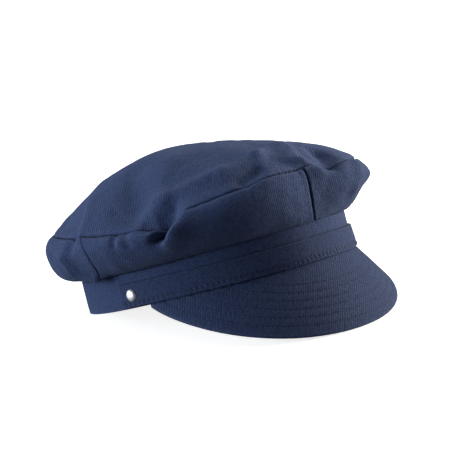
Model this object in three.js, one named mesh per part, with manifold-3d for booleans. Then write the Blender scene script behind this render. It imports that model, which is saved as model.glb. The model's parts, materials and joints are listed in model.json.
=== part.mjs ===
// A sailor's peaked cap in navy cotton twill: full soft crown, upright band, strap, stitched peak and rivets.
// Millimetres, +Z up. The cap is first worked out level: its head opening lies in the plane z = 0, the front
// looks along -Y and the wearer's right is -X. At the end it is tipped until it stands by itself on its peak
// and band.
import * as THREE from 'three';
import { mergeVertices } from 'three/addons/utils/BufferGeometryUtils.js';
import Module from 'manifold-3d';

const wasm = await Module();
wasm.setup();

// Driving sizes. Angles go round the band in degrees: 0 is the front, 90 the wearer's right, 180 the back.
const GAP = 0.3;
const BAND = { halfLength: 101, halfWidth: 83.8, wall: 2, columns: 72 };
const STRAP = { endAngle: 89.5, bottom: 1, top: 15.5, wall: 1.6, flare: 0.9, columns: 48, rows: 1 };
const CROWN = {
  wall: 1.6, hem: 2, sideCloth: 40, topCloth: 100, apex: 94.6, apexBack: 8, tipRound: 0.1,
  mmPerDegree: 1.8, foldFade: 7.2,
};
// The belly of the side: where its curve is pulled to, as shares of the bulge out and of the rise to the seam.
const BELLY = { lowOut: 0.5, lowUp: 0.09, highOut: 1, highUp: 0.78 };
const PEAK = {
  endAngle: 76.5, rootOut: 1.5, rootUp: 0.4, length: 49, wall: 2.6,
  slope: 60, slopeEase: 13, curl: 0.246, forward: 0.53, shortest: 0.985, columns: 36, rows: 5,
};
// How each half of the peak narrows towards its end, and how much less it slopes there.
const PEAK_HALVES = {
  right: { reachPower: 2.25, endPower: 0.83, lift: 0 },
  left: { reachPower: 2.35, endPower: 0.80, lift: 15 },
};
const RIVET = {
  angle: 83.7, up: 8.2, capRadius: 4.05, capHeight: 1.5, shankRadius: 1.2, washerRadius: 3, washerWall: 0.6,
};
const RIVET_HOLE_RADIUS = RIVET.shankRadius + GAP;
const RIVET_SIDES = { cap: 5, round: 14, hole: 12 };

// Rows of the crown's side, from the hem on the band to the seam under the top.
const SIDE_ROWS = [0, 0.12, 0.26, 0.38, 0.48, 0.58, 0.68, 0.78, 0.89, 1];
// Rings of the crown's top, as shares of the way from its middle to the seam.
const TOP_RINGS = [0.24, 0.46, 0.64, 0.77, 0.86, 0.92, 0.965, 1];

function table(columns, rows) {
  return rows.map((row) => Object.fromEntries(columns.map((column, i) => [column, row[i]])));
}

// The crown's sections round the band. foot is the height where it is sewn to the band, bulge how far its
// side is thrown out, seamOut and seamUp where the side meets the top, and cone how straight the top rises.
const SECTION_SHAPE = ['foot', 'bulge', 'seamOut', 'seamUp', 'cone'];
const SECTIONS = table(['angle', ...SECTION_SHAPE], [
  [-180, 22.3, 31.0, 12.0, 57.5, 0.00],
  [-150, 22.3, 32.0, 12.0, 56.5, 0.10],
  [-120, 22.3, 34.0, 13.0, 54.5, 0.20],
  [-90, 22.5, 34.0, 14.0, 53.0, 0.30],
  [-65, 24.0, 33.5, 15.0, 54.0, 0.45],
  [-43, 25.2, 32.5, 16.0, 56.0, 0.50],
  [-20, 25.2, 24.0, 11.0, 57.0, 0.40],
  [0, 25.0, 10.0, 3.0, 58.5, 0.30],
  [20, 24.8, 17.5, 8.0, 59.0, 0.25],
  [45, 24.0, 27.0, 12.0, 53.5, 0.20],
  [70, 22.8, 30.0, 15.0, 48.0, 0.10],
  [90, 22.4, 31.5, 16.0, 51.0, 0.00],
  [112, 22.3, 29.0, 13.5, 54.8, 0.00],
  [137, 22.3, 27.5, 10.0, 57.7, 0.00],
  [160, 22.3, 28.0, 11.5, 58.0, 0.00],
]);

// The crown's folds. Each runs straight from one place on the cloth to another, given by its angle and by
// the millimetres of cloth above the band. Its width on either hand and its height, below zero for a valley,
// follow.
const FOLDS = table(['fold', 'fromAngle', 'fromUp', 'toAngle', 'toUp', 'left', 'right', 'height'], [
  ['pinch', 61.5, 27, 57, 40, 7, 8, -5],
  ['pinch pull', 65, 40, 57, 40, 9, 9, -5.5],
  ['lip low', 59, 22, 56, 27, 9, 9, 1.2],
  ['lip high', 56, 27, 52.5, 36, 9, 9, 1],
  ['pleat', 75, 37, 75, 28, 4.5, 4.5, -1.5],
  ['quarter valley', 97, 38, 97, 31, 5, 5, -2.5],
  ['lobe upper', 113, 37, 101, 25, 5, 5, 2.4],
  ['lobe middle', 101, 25, 102, 15, 5, 5, 2.4],
  ['lobe lower', 102, 15, 96, 7, 4, 4, 2.4],
  ['far crease', 122, 44, 113, 27, 5, 5, -2],
  ['left lobe sag', 112, 12, 150, 12, 8, 8, 2],
  ['crease over pinch', 80, 53, 66, 43, 3, 3, -1],
  ['left fullness', 70, 88, 101, 76, 16, 16, 3],
  ['left slump', 104, 50, 126, 50, 6, 6, -3],
  ['ridge over pinch', 63, 57, 44, 53, 5, 5, 1.8],
  ['top hollow', 88, 70, 70, 52, 12, 12, -2],
  ['corner edge', 92, 42, 97, 62, 5, 5, 1.5],
  ['front ridge right', 30, 61, 12, 63, 6, 6, 1.4],
  ['front ridge left', 12, 63, -14, 71, 6, 6, 1.4],
  ['front dimple', 27, 44, 20, 49, 6, 6, -2.5],
  ['seam lap', -11, 62, -1, 46, 9, 4, 3],
  ['seam lap low', -1, 46, -5, 35, 8, 4, 1.8],
  ['seam valley', -24, 53, -12, 39.5, 6, 6, -5.5],
  ['corner ridge', -26, 34, -22, 18, 5, 5, 2],
  ['right shoulder', -26, 66, -46, 48, 9, 9, 2],
  ['lobe hollow', -35, 14, -75, 14, 7, 7, -2.8],
  ['left sag', -70, 31, -100, 23, 9, 9, -2.5],
  ['left ridge', -112, 44, -98, 18, 6, 6, 2.5],
  ['left sweep', -60, 62, -120, 70, 10, 10, 1.8],
  ['back valley', -150, 46, -158, 20, 6, 6, -2.5],
  ['back ridge', 168, 42, 160, 16, 7, 7, 2],
  ['back sag', 150, 70, 200, 66, 14, 14, -2.5],
]);

// How far the cloth's outer face leans up from level, against the millimetres of cloth above the band.
const LEANS = table(['up', 'lean'], [
  [-CROWN.hem, -88], [0, -66], [10, -45], [22, -5], [34, 30], [40, 45], [50, 50], [80, 68], [140, 90],
]);

// The seams between the quarters of the crown's side drift a little from the band to the top, and may bow.
const QUARTER_SEAMS = table(['seam', 'foot', 'top', 'bow'], [
  ['front', 0, 2.5, 1.5],
  ['right', 97.8, 92, -6.1],
  ['back', 180, 180, 0],
  ['left', 264.5, 266, 0],
  ['front again', 360, 362.5, 1.5],
]);

// The four quarters lie between those seams. Each is cut into columns, which crowd together round one share
// of its width where its folds are sharp.
const QUARTERS = table(['name', 'columns', 'crowdAt', 'crowding'], [
  ['crown_side_front_right', 50, 0.66, 0.6],
  ['crown_side_back_right', 26, 0.05, 0.5],
  ['crown_side_back_left', 18, 0, 0],
  ['crown_side_front_left', 24, 0.9, 0.5],
]);

const mix = (a, b, share) => a + (b - a) * share;
const clamp01 = (value) => Math.min(1, Math.max(0, value));
const radians = (degrees) => THREE.MathUtils.degToRad(degrees);
const nearestTurn = (angle) => ((angle + 180) % 360 + 360) % 360 - 180;

// Round the band

// The direction straight out from the band, level, at an angle.
function outward(angle) {
  const turn = radians(angle);
  const across = -Math.sin(turn) / BAND.halfWidth;
  const ahead = -Math.cos(turn) / BAND.halfLength;
  return new THREE.Vector3(across, ahead, 0).normalize();
}

function around(angle, out, up) {
  const turn = radians(angle);
  const across = -(BAND.halfWidth + out) * Math.sin(turn);
  const ahead = -(BAND.halfLength + out) * Math.cos(turn);
  return new THREE.Vector3(across, ahead, up);
}

// The crown

// A smooth curve through each column of SECTIONS, closed round the band.
function sectionAt(angle) {
  const turn = nearestTurn(angle);
  const count = SECTIONS.length;
  const row = (i) => SECTIONS[(i + count) % count];
  const angleOf = (i) => row(i).angle + 360 * Math.floor(i / count);
  let i = count - 1;
  while (SECTIONS[i].angle > turn) i -= 1;
  const span = angleOf(i + 1) - angleOf(i);
  const t = (turn - angleOf(i)) / span;
  const section = {};
  for (const column of SECTION_SHAPE) {
    const [before, from, to, after] = [-1, 0, 1, 2].map((step) => row(i + step)[column]);
    const leave = ((to - before) / (angleOf(i + 1) - angleOf(i - 1))) * span;
    const arrive = ((after - from) / (angleOf(i + 2) - angleOf(i))) * span;
    section[column] = (2 * t ** 3 - 3 * t ** 2 + 1) * from + (t ** 3 - 2 * t ** 2 + t) * leave
      + (3 * t ** 2 - 2 * t ** 3) * to + (t ** 3 - t ** 2) * arrive;
  }
  return section;
}

// The side's section is one cubic curve: out from the band, round the belly, and back in to the seam.
function sidePoint(section, angle, share) {
  const rise = section.seamUp - section.foot;
  const low = 3 * (1 - share) ** 2 * share;
  const high = 3 * (1 - share) * share ** 2;
  const out = (low * BELLY.lowOut + high * BELLY.highOut) * section.bulge + share ** 3 * section.seamOut;
  const up = (low * BELLY.lowUp + high * BELLY.highUp + share ** 3) * rise;
  return around(angle, out, section.foot + up);
}

// The top falls from its middle to the seam, partly as a soft cone and partly as a round dome.
function topPoint(section, angle, share) {
  const rounded = (value) => Math.hypot(value, CROWN.tipRound) - CROWN.tipRound;
  const cone = rounded(share) / rounded(1);
  const dome = share ** (2.1 + 2 * section.cone);
  const point = around(angle, section.seamOut, 0);
  point.x *= share;
  point.y = mix(CROWN.apexBack, point.y, share);
  point.z = mix(CROWN.apex, section.seamUp, mix(dome, cone, section.cone));
  return point;
}

function leanAt(up) {
  let i = LEANS.length - 2;
  while (i > 0 && LEANS[i].up > up) i -= 1;
  const share = clamp01((up - LEANS[i].up) / (LEANS[i + 1].up - LEANS[i].up));
  return mix(LEANS[i].lean, LEANS[i + 1].lean, share);
}

// The share of its full girth that the crown still has, at a height up the cloth.
const girthAt = (up) => 1 - clamp01((up - CROWN.sideCloth) / CROWN.topCloth);

// How far all folds together push the cloth out.
function foldHeight(angle, up) {
  let height = 0;
  for (const fold of FOLDS) {
    const across = nearestTurn(angle - fold.fromAngle) * CROWN.mmPerDegree * girthAt(up);
    const above = up - fold.fromUp;
    const girth = girthAt((fold.fromUp + fold.toUp) / 2);
    const alongAcross = nearestTurn(fold.toAngle - fold.fromAngle) * CROWN.mmPerDegree * girth;
    const alongAbove = fold.toUp - fold.fromUp;
    const length = Math.hypot(alongAcross, alongAbove);
    const share = clamp01((across * alongAcross + above * alongAbove) / length ** 2);
    const distance = Math.hypot(across - share * alongAcross, above - share * alongAbove);
    const hand = (alongAcross * above - alongAbove * across) / length / Math.max(distance, 1e-6);
    const width = mix(fold.right, fold.left, (1 + hand) / 2);
    height += fold.height * Math.exp(-((distance / width) ** 2));
  }
  const fade = clamp01(up / CROWN.foldFade);
  return height * fade * fade * (3 - 2 * fade);
}

// A point of the crown's cloth, depth millimetres in from its outer face.
function crownPoint(angle, up, depth) {
  const section = sectionAt(angle);
  let point;
  if (up < 0) point = around(angle, up, section.foot);
  else if (up <= CROWN.sideCloth) point = sidePoint(section, angle, up / CROWN.sideCloth);
  else point = topPoint(section, angle, girthAt(up));
  const lean = radians(leanAt(up));
  const facing = outward(angle).multiplyScalar(Math.cos(lean)).setZ(Math.sin(lean));
  return point.addScaledVector(facing, foldHeight(angle, up) - depth);
}

// The peak

// A point of the peak: share runs from -1 at its left end to 1 at its right end, along from root 0 to edge 1.
// Its left half stands a little fuller and flatter at the corner than its right half.
function peakPoint(share, along, depth) {
  const angle = share * PEAK.endAngle;
  const root = around(angle, PEAK.rootOut, PEAK.rootUp);
  const ahead = new THREE.Vector3(0, -1, 0);
  const out = outward(angle).lerp(ahead, PEAK.forward).normalize();
  const half = PEAK_HALVES[share < 0 ? 'left' : 'right'];
  const slope = radians(PEAK.slope - PEAK.slopeEase * share ** 2 - half.lift * share ** 4);
  const reach = PEAK.length * (1 - Math.abs(share) ** half.reachPower) ** half.endPower * along;
  const bend = radians(PEAK.curl);
  const end = slope + bend * reach;
  const point = root.addScaledVector(out, (Math.sin(end) - Math.sin(slope)) / bend);
  point.z -= (Math.cos(slope) - Math.cos(end)) / bend;
  point.addScaledVector(out, -depth * Math.sin(end));
  point.z -= depth * Math.cos(end);
  return point;
}

// Meshes

function solidGeometry(points, faces) {
  const geometry = new THREE.BufferGeometry();
  geometry.setAttribute('position', new THREE.Float32BufferAttribute(points.flatMap((p) => [p.x, p.y, p.z]), 3));
  geometry.setIndex(faces.flat());
  return geometry;
}

// A wall of cloth: pointAt(column, row, side) gives its outer face for side 0 and its inner face for side 1.
// A closed wall runs all the way round, and an open one has two end faces.
function wallGeometry(columns, rows, closed, pointAt) {
  const columnCount = closed ? columns : columns + 1;
  const points = [];
  for (const side of [0, 1]) {
    for (let i = 0; i < columnCount; i += 1) {
      for (let j = 0; j <= rows; j += 1) points.push(pointAt(i, j, side));
    }
  }
  const at = (i, j, side) => (side * columnCount + (i % columnCount)) * (rows + 1) + j;
  const faces = [];
  const quad = (a, b, c, d) => faces.push([a, b, c], [a, c, d]);
  for (let i = 0; i < columns; i += 1) {
    for (let j = 0; j < rows; j += 1) {
      quad(at(i, j, 0), at(i, j + 1, 0), at(i + 1, j + 1, 0), at(i + 1, j, 0));
      quad(at(i, j, 1), at(i + 1, j, 1), at(i + 1, j + 1, 1), at(i, j + 1, 1));
    }
    quad(at(i, 0, 0), at(i + 1, 0, 0), at(i + 1, 0, 1), at(i, 0, 1));
    quad(at(i, rows, 0), at(i, rows, 1), at(i + 1, rows, 1), at(i + 1, rows, 0));
  }
  if (!closed) {
    for (let j = 0; j < rows; j += 1) {
      quad(at(0, j, 0), at(0, j, 1), at(0, j + 1, 1), at(0, j + 1, 0));
      quad(at(columns, j, 0), at(columns, j + 1, 0), at(columns, j + 1, 1), at(columns, j, 1));
    }
  }
  return solidGeometry(points, faces);
}

// The share of a quarter's width at which a column lies.
function columnShare(quarter, column) {
  const wave = (share) => (quarter.crowding * Math.sin(2 * Math.PI * (share - quarter.crowdAt))) / (2 * Math.PI);
  const share = column / quarter.columns;
  return share - wave(share) + wave(0);
}

function seamAngle(seam, up) {
  const rise = clamp01(up / CROWN.sideCloth);
  return mix(seam.foot, seam.top, rise) + 4 * seam.bow * rise * (1 - rise);
}

function quarterAngle(quarter, column, up) {
  const half = GAP / 2 / CROWN.mmPerDegree;
  const [from, to] = [0, 1].map((next) => QUARTER_SEAMS[QUARTERS.indexOf(quarter) + next]);
  return mix(seamAngle(from, up) + half, seamAngle(to, up) - half, columnShare(quarter, column));
}

function quarterGeometry(quarter) {
  const ups = [-CROWN.hem, ...SIDE_ROWS.map((share) => share * (CROWN.sideCloth - GAP / 2))];
  return wallGeometry(quarter.columns, ups.length - 1, false, (i, j, side) => (
    crownPoint(quarterAngle(quarter, i, ups[j]), ups[j], side * CROWN.wall)
  ));
}

// The top shares its spokes with the quarters, so that the two edges of the seam stay side by side.
function topGeometry() {
  const angles = [];
  for (const quarter of QUARTERS) {
    for (let i = 0; i < quarter.columns; i += 1) angles.push(quarterAngle(quarter, i, CROWN.sideCloth));
    angles.push(quarterAngle(quarter, quarter.columns, CROWN.sideCloth));
  }
  const points = [];
  const faces = [];
  const rings = TOP_RINGS.length;
  const at = (i, j, side) => 2 + (side * angles.length + (i % angles.length)) * rings + j;
  const seamUp = CROWN.sideCloth + GAP / 2;
  points.push(new THREE.Vector3(0, CROWN.apexBack, CROWN.apex));
  points.push(new THREE.Vector3(0, CROWN.apexBack, CROWN.apex - CROWN.wall));
  for (const side of [0, 1]) {
    for (const angle of angles) {
      for (const ring of TOP_RINGS) {
        points.push(crownPoint(angle, mix(CROWN.sideCloth + CROWN.topCloth, seamUp, ring), side * CROWN.wall));
      }
    }
  }
  for (let i = 0; i < angles.length; i += 1) {
    faces.push([0, at(i + 1, 0, 0), at(i, 0, 0)], [1, at(i, 0, 1), at(i + 1, 0, 1)]);
    for (let j = 0; j < rings - 1; j += 1) {
      const outer = [at(i, j, 0), at(i + 1, j, 0), at(i + 1, j + 1, 0), at(i, j + 1, 0)];
      const inner = [at(i, j, 1), at(i, j + 1, 1), at(i + 1, j + 1, 1), at(i + 1, j, 1)];
      for (const [a, b, c, d] of [outer, inner]) faces.push([a, b, c], [a, c, d]);
    }
    const rim = [at(i, rings - 1, 0), at(i + 1, rings - 1, 0), at(i + 1, rings - 1, 1), at(i, rings - 1, 1)];
    faces.push([rim[0], rim[1], rim[2]], [rim[0], rim[2], rim[3]]);
  }
  return solidGeometry(points, faces);
}

function bandGeometry() {
  return wallGeometry(BAND.columns, 1, true, (i, j, side) => {
    const angle = (i / BAND.columns) * 360;
    return around(angle, -side * BAND.wall, j * (sectionAt(angle).foot - GAP));
  });
}

// The strap stands away from the band towards its lower edge, where the root of the peak lies behind it.
function strapGeometry() {
  return wallGeometry(STRAP.columns, STRAP.rows, false, (i, j, side) => {
    const share = j / STRAP.rows;
    const back = GAP + STRAP.flare * (1 - share);
    const angle = mix(-STRAP.endAngle, STRAP.endAngle, i / STRAP.columns);
    return around(angle, back + (1 - side) * STRAP.wall, mix(STRAP.bottom, STRAP.top, share));
  });
}

function peakGeometry() {
  return wallGeometry(PEAK.columns, PEAK.rows, false, (i, j, side) => {
    const share = Math.sin(mix(-Math.PI / 2, Math.PI / 2, i / PEAK.columns)) * PEAK.shortest;
    return peakPoint(share, 1 - j / PEAK.rows, side * PEAK.wall);
  });
}

// A rivet has a domed cap outside, a shank through strap and band, and a flat washer inside.
function rivetGeometry(shankLength) {
  const profile = [new THREE.Vector2(0, -shankLength - RIVET.washerWall)];
  profile.push(new THREE.Vector2(RIVET.washerRadius, -shankLength - RIVET.washerWall));
  profile.push(new THREE.Vector2(RIVET.washerRadius, -shankLength));
  profile.push(new THREE.Vector2(RIVET.shankRadius, -shankLength));
  profile.push(new THREE.Vector2(RIVET.shankRadius, 0));
  for (let i = 0; i <= RIVET_SIDES.cap; i += 1) {
    const turn = (i / RIVET_SIDES.cap) * (Math.PI / 2);
    const radius = i < RIVET_SIDES.cap ? RIVET.capRadius * Math.cos(turn) : 0;
    profile.push(new THREE.Vector2(radius, RIVET.capHeight * Math.sin(turn)));
  }
  return new THREE.LatheGeometry(profile, RIVET_SIDES.round);
}

// Cutting

function toManifold(geometry) {
  const bare = geometry.clone();
  bare.deleteAttribute('normal');
  bare.deleteAttribute('uv');
  const merged = mergeVertices(bare, 1e-4);
  return new wasm.Manifold(new wasm.Mesh({
    numProp: 3,
    vertProperties: new Float32Array(merged.attributes.position.array),
    triVerts: new Uint32Array(merged.index.array),
  }));
}

function fromManifold(solid) {
  const mesh = solid.getMesh();
  const geometry = new THREE.BufferGeometry();
  geometry.setAttribute('position', new THREE.BufferAttribute(mesh.vertProperties, 3));
  geometry.setIndex(new THREE.BufferAttribute(mesh.triVerts, 1));
  return geometry;
}

// A placement with its own +Y along the outward direction at a rivet, on the strap's outer face.
const RIVET_SHARE = (RIVET.up - STRAP.bottom) / (STRAP.top - STRAP.bottom);
const RIVET_FACE = GAP + STRAP.flare * (1 - RIVET_SHARE) + STRAP.wall;

function rivetPlace(hand) {
  const angle = hand * RIVET.angle;
  const turn = new THREE.Quaternion().setFromUnitVectors(new THREE.Vector3(0, 1, 0), outward(angle));
  return new THREE.Matrix4().compose(around(angle, RIVET_FACE, RIVET.up), turn, new THREE.Vector3(1, 1, 1));
}

function drilled(geometry) {
  const depth = 4 * (BAND.wall + STRAP.wall);
  return [1, -1].reduce((solid, hand) => {
    const drill = new THREE.CylinderGeometry(RIVET_HOLE_RADIUS, RIVET_HOLE_RADIUS, depth, RIVET_SIDES.hole);
    return fromManifold(toManifold(solid).subtract(toManifold(drill.applyMatrix4(rivetPlace(hand)))));
  }, geometry);
}

// Finishes

const TWILL = { color: 0x2a3554, roughness: 0.9, metalness: 0, side: THREE.DoubleSide };
const crownCloth = new THREE.MeshStandardMaterial({ ...TWILL, name: 'navy twill of the crown' });
const bandCloth = new THREE.MeshStandardMaterial({ ...TWILL, color: 0x1e2740, name: 'navy twill of the band' });
const peakCloth = new THREE.MeshStandardMaterial({ ...TWILL, color: 0x232d49, name: 'navy twill of the peak' });
const rivetMetal = new THREE.MeshStandardMaterial({ color: 0xb4b0ba, roughness: 0.35, metalness: 1 });

// Assembly

const cap = new THREE.Group();
cap.name = 'sailor_hat';

function addPiece(name, geometry, material) {
  const mesh = new THREE.Mesh(geometry, material);
  mesh.name = name;
  cap.add(mesh);
  return mesh;
}

const headband = addPiece('headband', drilled(bandGeometry()), bandCloth);
addPiece('strap', drilled(strapGeometry()), bandCloth);
const peak = addPiece('peak', peakGeometry(), peakCloth);
addPiece('crown_top', topGeometry(), crownCloth);
for (const quarter of QUARTERS) addPiece(quarter.name, quarterGeometry(quarter), crownCloth);
for (const [name, hand] of [['rivet_right', 1], ['rivet_left', -1]]) {
  const lift = new THREE.Matrix4().makeTranslation(0, GAP, 0);
  const shankLength = RIVET_FACE + BAND.wall + 2 * GAP;
  addPiece(name, rivetGeometry(shankLength).applyMatrix4(rivetPlace(hand).multiply(lift)), rivetMetal);
}

// How low a piece reaches once the cap is tipped back by an angle.
function lowestOf(mesh, tip) {
  const position = mesh.geometry.attributes.position;
  let lowest = Infinity;
  for (let i = 0; i < position.count; i += 1) {
    lowest = Math.min(lowest, position.getZ(i) * Math.cos(tip) - position.getY(i) * Math.sin(tip));
  }
  return lowest;
}

// The tip at which the peak's edge and the back of the band stand on one level.
function restingTip() {
  let [least, most] = [0, radians(30)];
  for (let step = 0; step < 40; step += 1) {
    const middle = (least + most) / 2;
    if (lowestOf(peak, middle) < lowestOf(headband, middle)) least = middle;
    else most = middle;
  }
  return most;
}

cap.rotation.x = -restingTip();
cap.updateMatrixWorld(true);
const box = new THREE.Box3().setFromObject(cap, true);
const centre = box.getCenter(new THREE.Vector3());
cap.position.set(-centre.x, -centre.y, -box.min.z);

const standing = new THREE.Group();
standing.add(cap);

export default standing;
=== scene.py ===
# %% [markdown]
# This lesson dresses a soft peaked cap of navy cotton twill. The imported CAD model gives every place and
# size: it is the frame, and the pieces made here are fitted over it. The cap is worked out level, in its
# own axes and in millimetres, with its front along -Y and the wearer's right along -X. It is then tipped to
# stand on its peak and the back of its band.

# %% Load the frame
import json
import math

import bpy
import numpy as np
from mathutils import Matrix, Vector


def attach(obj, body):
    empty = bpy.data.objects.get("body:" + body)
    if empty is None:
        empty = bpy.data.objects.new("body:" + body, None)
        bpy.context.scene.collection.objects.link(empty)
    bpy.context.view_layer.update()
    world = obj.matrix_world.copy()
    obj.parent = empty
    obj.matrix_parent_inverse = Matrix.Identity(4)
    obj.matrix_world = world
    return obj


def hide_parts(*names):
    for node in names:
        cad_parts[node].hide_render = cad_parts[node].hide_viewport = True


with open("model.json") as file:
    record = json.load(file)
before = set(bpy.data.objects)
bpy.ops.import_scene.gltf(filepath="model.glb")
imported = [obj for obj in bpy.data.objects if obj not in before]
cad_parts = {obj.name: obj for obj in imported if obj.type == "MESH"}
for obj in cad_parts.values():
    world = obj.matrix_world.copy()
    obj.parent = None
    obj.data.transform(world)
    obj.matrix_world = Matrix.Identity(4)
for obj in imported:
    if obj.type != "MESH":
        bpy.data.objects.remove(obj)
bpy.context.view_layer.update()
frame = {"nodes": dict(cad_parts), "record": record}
print("nodes", sorted(frame["nodes"]))

# %% [markdown]
# The tipped cap's own axes come from the mount that names the head opening. Its point is the middle of the
# band's lower edge, and its axis points straight out of the opening. One small matrix then puts any point
# of the level cap in its place.

# %% The cap's own axes
opening = next(mount for mount in frame["record"]["mounts"] if mount["name"] == "head_opening")
CAP_ORIGIN = np.array(opening["pos_m"])
CAP_UP = -np.array(opening["axis"])
CAP_UP = CAP_UP / np.linalg.norm(CAP_UP)
CAP_AXES = np.stack([np.array([1.0, 0.0, 0.0]), np.cross(CAP_UP, [1.0, 0.0, 0.0]), CAP_UP])


def in_place(points):
    """Points of the level cap, in millimetres, to where the tipped cap has them, in metres."""
    return CAP_ORIGIN + np.asarray(points) / 1000 @ CAP_AXES


print("tip in degrees", math.degrees(math.asin(CAP_AXES[2][1])))

# %% [markdown]
# The camera comes before the pieces, so that every first look is already the right view. Its direction is
# given against the level cap: round to the wearer's right, a little above the band, and rolled because the
# cap stands tipped. Turning the camera puts the cap in its place in the picture, so the lens needs no
# shift.

# %% Camera
PICTURE = 458
VIEW = {"azimuth": -41.6, "elevation": 3.4, "roll": -14.65, "distance": 1.0}
VIEW.update({"focal": 1475, "middle": (219.5, 279.5)})


def camera_axes():
    azimuth, elevation, roll = (math.radians(VIEW[k]) for k in ("azimuth", "elevation", "roll"))
    back = np.array([
        math.sin(azimuth) * math.cos(elevation),
        -math.cos(azimuth) * math.cos(elevation),
        math.sin(elevation),
    ])
    level = np.array([math.cos(azimuth), math.sin(azimuth), 0.0])
    upright = np.cross(back, level)
    right = math.cos(roll) * level + math.sin(roll) * upright
    up = -math.sin(roll) * level + math.cos(roll) * upright
    return back, right, up


back, right, up = camera_axes()
aside = (PICTURE / 2 - VIEW["middle"][0]) / VIEW["focal"]
above = (VIEW["middle"][1] - PICTURE / 2) / VIEW["focal"]
look = Vector(-back + aside * right + above * up).normalized()
side = (Vector(right) - look * look.dot(Vector(right))).normalized()
turn = Matrix((side, side.cross(look), -look)).transposed()
camera_data = bpy.data.cameras.new("camera")
camera_data.sensor_width = 36
camera_data.lens = 36 * VIEW["focal"] / PICTURE
camera_data.clip_start = 0.05
camera = bpy.data.objects.new("camera", camera_data)
bpy.context.collection.objects.link(camera)
cap_turn = Matrix(CAP_AXES.tolist()).transposed()
camera.matrix_world = (cap_turn @ turn).to_4x4()
camera.location = in_place(back * VIEW["distance"] * 1000)
bpy.context.scene.camera = camera
print("camera at", tuple(round(value, 3) for value in camera.location))

# %% [markdown]
# The driving sizes are those of the CAD solids, in millimetres and degrees, with sharper and finer folds.
# Angles go round the band: 0 is the front, 90 the wearer's right and 180 the back. GAP is the room that
# loose pieces keep, and SEWN the hair's breadth between sewn ones. The crown is a table of sections. Its
# folds are a second table, each a straight valley or ridge with a place, a width on either hand and a
# height.

# %% Driving sizes
GAP = 0.3
SEWN = 0.05
BAND = {"half_length": 101, "half_width": 83.8, "wall": 2, "usual_height": 22.0, "mm_per_degree": 1.62}
SAG = {"depth": 0.75, "from_angle": 72, "run_in": 28, "run_out": 60}
STRAP = {"end_angle": 89.5, "bottom": 1, "top": 15.5, "wall": 1.6, "flare": 0.9}
CROWN = {"wall": 1.6, "hem": 2, "side_cloth": 40, "top_cloth": 100, "apex": 94.6, "apex_back": 8}
CROWN.update({"tip_round": 0.1, "mm_per_degree": 1.8, "fold_fade": 7.2, "crest": 4})
FLAT_CLOTH = {"mm_per_degree": 1.95, "rise": 1.15}
BELLY = {"low_out": 0.5, "low_up": 0.09, "high_out": 1, "high_up": 0.78}
PEAK = {"end_angle": 76.5, "root_out": 1.5, "root_up": 0.4, "length": 49, "wall": 2.6, "shortest": 0.997}
PEAK.update({"slope": 60, "slope_ease": 13, "curl": 0.246, "forward": 0.53})
PEAK_RIGHT = {"reach_power": 2.2, "end_power": 0.82, "lift": 0}
PEAK_LEFT = {"reach_power": 2.2, "end_power": 0.77, "lift": 17}
RIVET = {"angle": 83.7, "up": 8.2, "cap_radius": 4.05, "cap_height": 1.5, "shank_radius": 1.2}
RIVET.update({"washer_radius": 3, "washer_wall": 0.6})

# angle, foot, bulge, seam_out, seam_up, cone
SECTIONS = np.array([
    [-180, 22.3, 31.0, 12.0, 57.5, 0.00],
    [-150, 22.3, 32.0, 12.0, 56.5, 0.10],
    [-120, 22.3, 34.0, 13.0, 54.5, 0.20],
    [-90, 22.5, 34.0, 14.0, 53.0, 0.30],
    [-65, 24.0, 33.5, 15.0, 54.0, 0.45],
    [-43, 25.2, 32.5, 16.0, 56.0, 0.50],
    [-20, 25.2, 24.0, 11.0, 57.0, 0.40],
    [0, 25.0, 10.0, 3.0, 58.5, 0.30],
    [20, 24.8, 17.5, 8.0, 59.0, 0.25],
    [45, 24.0, 27.0, 12.0, 53.5, 0.20],
    [70, 22.8, 30.0, 15.0, 48.0, 0.10],
    [90, 22.4, 31.5, 16.0, 51.0, 0.00],
    [112, 22.3, 29.0, 13.5, 54.8, 0.00],
    [137, 22.3, 27.5, 10.0, 57.7, 0.00],
    [160, 22.3, 28.0, 11.5, 58.0, 0.00],
])

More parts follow.
